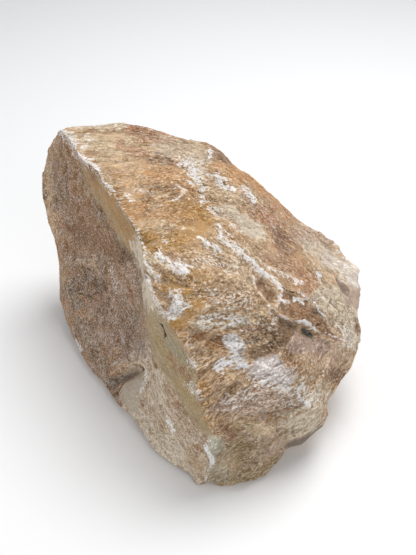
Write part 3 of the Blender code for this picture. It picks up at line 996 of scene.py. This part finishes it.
CRACK_COLOUR = (0.05, 0.028, 0.014, 1)
CHALK_COLOUR = (0.93, 0.92, 0.93, 1)
BLOOM_COLOUR = (0.86, 0.80, 0.72, 1)
# Pale dust, and the painted highlights laid in the same colour.
DUST_AND_HIGHLIGHT_COLOUR = (0.86, 0.72, 0.53, 1)
# Painted light and shade: a lit copy and a shaded copy of the tint, and the painted shadow in the crevices.
LIGHT_COLOUR = (1.0, 0.94, 0.84, 1)
SHADE_OF_TINT = (0.54, 0.45, 0.35)
CREVICE_SHADOW_OF_TINT = (0.36, 0.29, 0.22)
material = bpy.data.materials.new("calcite")
material.use_nodes = True
nodes = material.node_tree.nodes
links = material.node_tree.links
shader = nodes["Principled BSDF"]


def added(kind, **settings):
    """A node of the calcite, with its own settings and its inputs set or linked by name."""
    node = nodes.new(kind)
    for name, value in settings.items():
        if hasattr(node, name):
            setattr(node, name, value)
            continue
        socket = node.inputs[int(name[-1]) if name[-1].isdigit() else name.replace("_", " ")]
        if isinstance(value, bpy.types.NodeSocket):
            links.new(value, socket)
        else:
            socket.default_value = value
    return node


def maths(operation, first, second=0.0, third=0.0):
    node = added("ShaderNodeMath", operation=operation, input0=first, input1=second, input2=third)
    return node.outputs[0]


def times(first, second):
    return maths("MULTIPLY", first, second)


def mixed(share, first, second):
    return added("ShaderNodeMix", data_type="FLOAT", input0=share, input2=first, input3=second).outputs[0]


def mixed_colour(share, first, second):
    return added("ShaderNodeMix", data_type="RGBA", input0=share, input6=first, input7=second).outputs[2]


def read(name):
    return added("ShaderNodeAttribute", attribute_name=name).outputs["Fac"]


def spread(value, low, high, top=1.0):
    """The value drawn out so that low becomes 0 and high becomes the top."""
    return added("ShaderNodeMapRange", Value=value, From_Min=low, From_Max=high, To_Max=top).outputs[0]


def swayed(base, value, amount):
    """The base, moved up and down as the value goes above and below one half."""
    return maths("MULTIPLY_ADD", maths("SUBTRACT", value, 0.5), amount, base)


def held_back(value, where, amount):
    """The value, less this much of itself where the other one is 1."""
    return times(value, maths("SUBTRACT", 1.0, times(where, amount)))


def speckle(vector, width, detail, **settings):
    """A noise texture with lumps this wide."""
    return added("ShaderNodeTexNoise", Vector=vector, Scale=1 / width, Detail=detail, **settings)


def grains(size, detail):
    """Even grain this many millimetres wide."""
    return spread(speckle(place, size * MM, detail, Roughness=0.7).outputs[0], 0.3, 0.7)


def drawn_out(vector, axes, size):
    """The place measured along these axes, in lumps of this size in millimetres."""
    turn = Matrix(axes.T.tolist()).to_euler()
    return added(
        "ShaderNodeMapping", vector_type="TEXTURE", Vector=vector, Rotation=turn, Scale=Vector(size) * MM,
    ).outputs[0]


def fibred(size, detail):
    """Noise drawn out along the streaks, blended from each zone into the next."""
    blend = None
    for name, (direction, normal, stretch, _) in STREAK_ZONES.items():
        turned = drawn_out(bent, grain_axes(direction, normal), (size[0] * stretch, size[1], size[2]))
        one = speckle(turned, 1.0, detail, Roughness=0.62, Distortion=0.3).outputs[0]
        blend = one if blend is None else mixed(read(name), blend, one)
    return blend


def darker(colour, share):
    return added("ShaderNodeVectorMath", operation="MULTIPLY", input0=colour, input1=share).outputs[0]


BEND_WIDTH = 15 * MM
BEND_REACH = (6 * MM,) * 3
place = added("ShaderNodeTexCoord").outputs["Object"]
tint_colour = added("ShaderNodeAttribute", attribute_name="tint").outputs["Color"]
bend = speckle(place, BEND_WIDTH, 1.0).outputs["Color"]
bent = added(
    "ShaderNodeVectorMath", operation="MULTIPLY_ADD", input0=bend, input1=BEND_REACH, input2=place,
).outputs[0]
side_share = read("granular")
smooth_share = read("band")
mottle_and_shade_depth = read("depth")

# The lamellae: broken flakes, each with a painted shadow in the crevice under its lip and a painted
# highlight on the lip.
FLAKE_SIZE = (9, 2.6, 3.4)
STRAND_SIZE = (4.2, 1.7, 2.1)
SHEET_SIZE = (18, 3.6, 4.6)
CRUMB_SIZE = 2.4
CRUMB_PATCH_SIZE = 14
flake_count = times(fibred(FLAKE_SIZE, 2.5), 5.0)
flake_slope = maths("FRACT", flake_count)
strand = spread(fibred(STRAND_SIZE, 3.5), 0.36, 0.64)
crumb = spread(grains(CRUMB_SIZE, 3.0), 0.15, 0.85)
sheet_slope = maths("FRACT", times(fibred(SHEET_SIZE, 3.0), 6.0))
# Painted shadow in the crevice under each sheet's lip.
crevice_shadow = times(spread(sheet_slope, 0.14, 0.02, 0.85), mottle_and_shade_depth)
# Painted highlight along each sheet's lip.
lip = times(spread(sheet_slope, 0.82, 0.97, 0.55), mottle_and_shade_depth)
crumbly = held_back(spread(grains(CRUMB_PATCH_SIZE, 2.0), 0.3, 0.8, 0.8), read("slant"), 0.7)
rough_top = maths("MULTIPLY_ADD", flake_slope, 0.26, 0.09)
rough_top = maths("MULTIPLY_ADD", mixed(crumbly, strand, crumb), 0.56, rough_top)

# The steep side: sugary grain with pale curls through it.
CURL_WIDTH = 6 * MM
CURL_PATCH_WIDTH = 14 * MM
SUGAR_SIZE = 1.7
CLOUD_SIZE = 12
curl_noise = speckle(place, CURL_WIDTH, 2.0, Distortion=1.2).outputs[0]
curl_line = maths("ABSOLUTE", maths("SUBTRACT", curl_noise, 0.5))
curl_patch = spread(speckle(place, CURL_PATCH_WIDTH, 4.0).outputs[0], 0.47, 0.57)
curl = times(spread(curl_line, 0.035, 0.0), curl_patch)
curl = held_back(times(curl, spread(mottle_and_shade_depth, 1.15, 1.6)), smooth_share, 0.9)
side_grain = grains(SUGAR_SIZE, 2.0)
rough_side = maths("MULTIPLY_ADD", side_grain, 0.7, times(grains(CLOUD_SIZE, 3.0), 0.3))

# The honey band: smooth, with faint veins along it.
VEIN_DIRECTION = (0.42, 0.9)
VEIN_SIZE = (14, 2.5, 4)
vein_place = drawn_out(place, grain_axes(VEIN_DIRECTION, STEEP_SIDE), VEIN_SIZE)
vein = spread(speckle(vein_place, 1.0, 4.0).outputs[0], 0.3, 0.7)
rough_side = mixed(times(read("streaky"), 0.3), rough_side, vein)
rough_band = maths("MULTIPLY_ADD", vein, 0.18, maths("MULTIPLY_ADD", side_grain, 0.25, 0.31))
rough = mixed(smooth_share, mixed(side_share, rough_top, rough_side), rough_band)

# Painted light and shade over the stone's own grain: the colour runs from a shaded copy of the tint where
# the break lies low to a lit copy where it stands out.
in_shade = darker(tint_colour, SHADE_OF_TINT)
in_light = mixed_colour(0.16, tint_colour, LIGHT_COLOUR)
mottled_and_shaded = mixed_colour(spread(swayed(0.5, rough, mottle_and_shade_depth), 0.2, 0.72), in_shade, in_light)
top_share = maths("SUBTRACT", 1.0, side_share)
crevice_shadowed = mixed_colour(times(crevice_shadow, top_share), mottled_and_shaded, darker(tint_colour, CREVICE_SHADOW_OF_TINT))
# Pale dust, with the painted highlights on the lips and raised spots laid in the same colour.
dust_and_highlight_tint = mixed_colour(0.4, tint_colour, DUST_AND_HIGHLIGHT_COLOUR)
dust_and_highlight_edge = swayed(read("dust_and_painted_light"), rough, times(mottle_and_shade_depth, 1.5))
dust_and_highlight_edge = maths("MULTIPLY_ADD", lip, top_share, dust_and_highlight_edge)
dusted_and_highlit = mixed_colour(spread(dust_and_highlight_edge, 0.55, 0.85, 0.9), crevice_shadowed, dust_and_highlight_tint)
curled = mixed_colour(times(curl, times(side_share, 0.55)), dusted_and_highlit, CHALK_COLOUR)

# Chalk, first as a bloom and then white, with an edge as ragged as the break.
ragged = mixed(side_share, mixed(0.5, strand, crumb), side_grain)
chalk_edge = swayed(swayed(read("chalk"), ragged, 0.9), rough, 0.8)
bloom = mixed_colour(0.7, tint_colour, BLOOM_COLOUR)
bloomed = mixed_colour(spread(chalk_edge, 0.42, 0.62, 0.85), curled, bloom)
whitened = mixed_colour(spread(chalk_edge, 0.7, 0.98, 0.9), bloomed, CHALK_COLOUR)

# Hair cracks and white lips, both wandering and broken.
BREAK_SIZE = 6
broken = spread(grains(BREAK_SIZE, 2.0), 0.25, 0.5)


def line_share(name, wander, full):
    """How far a thin line covers the stone: wholly within this distance of its middle."""
    gap = swayed(maths("ABSOLUTE", read(name + "_offset")), strand, wander)
    return times(spread(gap, 0.9, full), times(read(name + "_plain"), broken))


cracked = mixed_colour(line_share("crack", 0.8, 0.2), whitened, CRACK_COLOUR)
edged = mixed_colour(line_share("lip", 1.8, 0.1), cracked, CHALK_COLOUR)

BUMP_HEIGHT = 1.0 * MM
top_height = maths("MULTIPLY_ADD", maths("FLOOR", flake_count), 0.3, times(strand, 0.5))
top_height = maths("MULTIPLY_ADD", sheet_slope, 0.6, top_height)
side_height = times(rough_side, mixed(smooth_share, 0.8, 0.15))
height = mixed(side_share, top_height, side_height)
bump_strength = maths("MINIMUM", times(mottle_and_shade_depth, 0.8), 1.0)
bump = added("ShaderNodeBump", Strength=bump_strength, Distance=BUMP_HEIGHT, Height=height)
links.new(edged, shader.inputs["Base Color"])
links.new(mixed(smooth_share, 0.8, 0.5), shader.inputs["Roughness"])
links.new(bump.outputs["Normal"], shader.inputs["Normal"])
shader.inputs["Specular IOR Level"].default_value = 0.2
stone_mesh.materials.append(material)
stone_mesh.shade_smooth()
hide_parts("calcite_boulder")
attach(stone, "root")

# ---------------------------------------------------------------------------------------------
# The floor, the light and the camera. The stone stands loose on a white sweep under a soft key from
# behind and above, with two weak fills in front, and the camera looks from the standpoint.
FLOOR_REACH = 6
FLOOR_COLOUR = (0.92, 0.92, 0.92, 1)
SKY_COLOUR = (0.95, 0.97, 1, 1)
SKY_STRENGTH = 0.4
floor_mesh = bpy.data.meshes.new("floor")
floor_corners = [(x * FLOOR_REACH, y * FLOOR_REACH, 0) for x, y in ((-1, -1), (1, -1), (1, 1), (-1, 1))]
floor_mesh.from_pydata(floor_corners, [], [(0, 1, 2, 3)])
floor = bpy.data.objects.new("floor", floor_mesh)
bpy.context.collection.objects.link(floor)
floor_material = bpy.data.materials.new("floor")
floor_material.use_nodes = True
floor_shader = floor_material.node_tree.nodes["Principled BSDF"]
floor_shader.inputs["Base Color"].default_value = FLOOR_COLOUR
floor_shader.inputs["Roughness"].default_value = 0.9
floor_mesh.materials.append(floor_material)

scene = bpy.context.scene
world = bpy.data.worlds.new("studio")
scene.world = world
world.use_nodes = True
sky = world.node_tree.nodes["Background"]
sky.inputs["Color"].default_value = SKY_COLOUR
sky.inputs["Strength"].default_value = SKY_STRENGTH


def softbox(name, place, target, size, power):
    """A round soft lamp of this size and power, turned to its target."""
    light = bpy.data.lights.new(name, "AREA")
    light.shape = "DISK"
    light.size = size
    light.energy = power
    lamp = bpy.data.objects.new(name, light)
    lamp.location = place
    lamp.rotation_mode = "QUATERNION"
    lamp.rotation_quaternion = (Vector(target) - Vector(place)).to_track_quat("-Z", "Y")
    bpy.context.collection.objects.link(lamp)


softbox("key", (0.45, 0.5, 1.9), (0, 0, 0.15), 1.2, 28.8)
softbox("fill", (0.9, -1.5, 1.1), (0, 0, 0.12), 1.2, 7.5)
softbox("left fill", (-1.7, -0.9, 1.0), (0, 0, 0.12), 1.4, 7)

camera_data = bpy.data.cameras.new("camera")
camera_data.lens = LENS
camera_data.sensor_width = SENSOR
camera = bpy.data.objects.new("camera", camera_data)
camera.location = STANDPOINT
camera.rotation_mode = "QUATERNION"
camera.rotation_quaternion = Vector(-BACKWARD).to_track_quat("-Z", "Y")
bpy.context.collection.objects.link(camera)
scene.camera = camera
scene.view_settings.view_transform = "Standard"
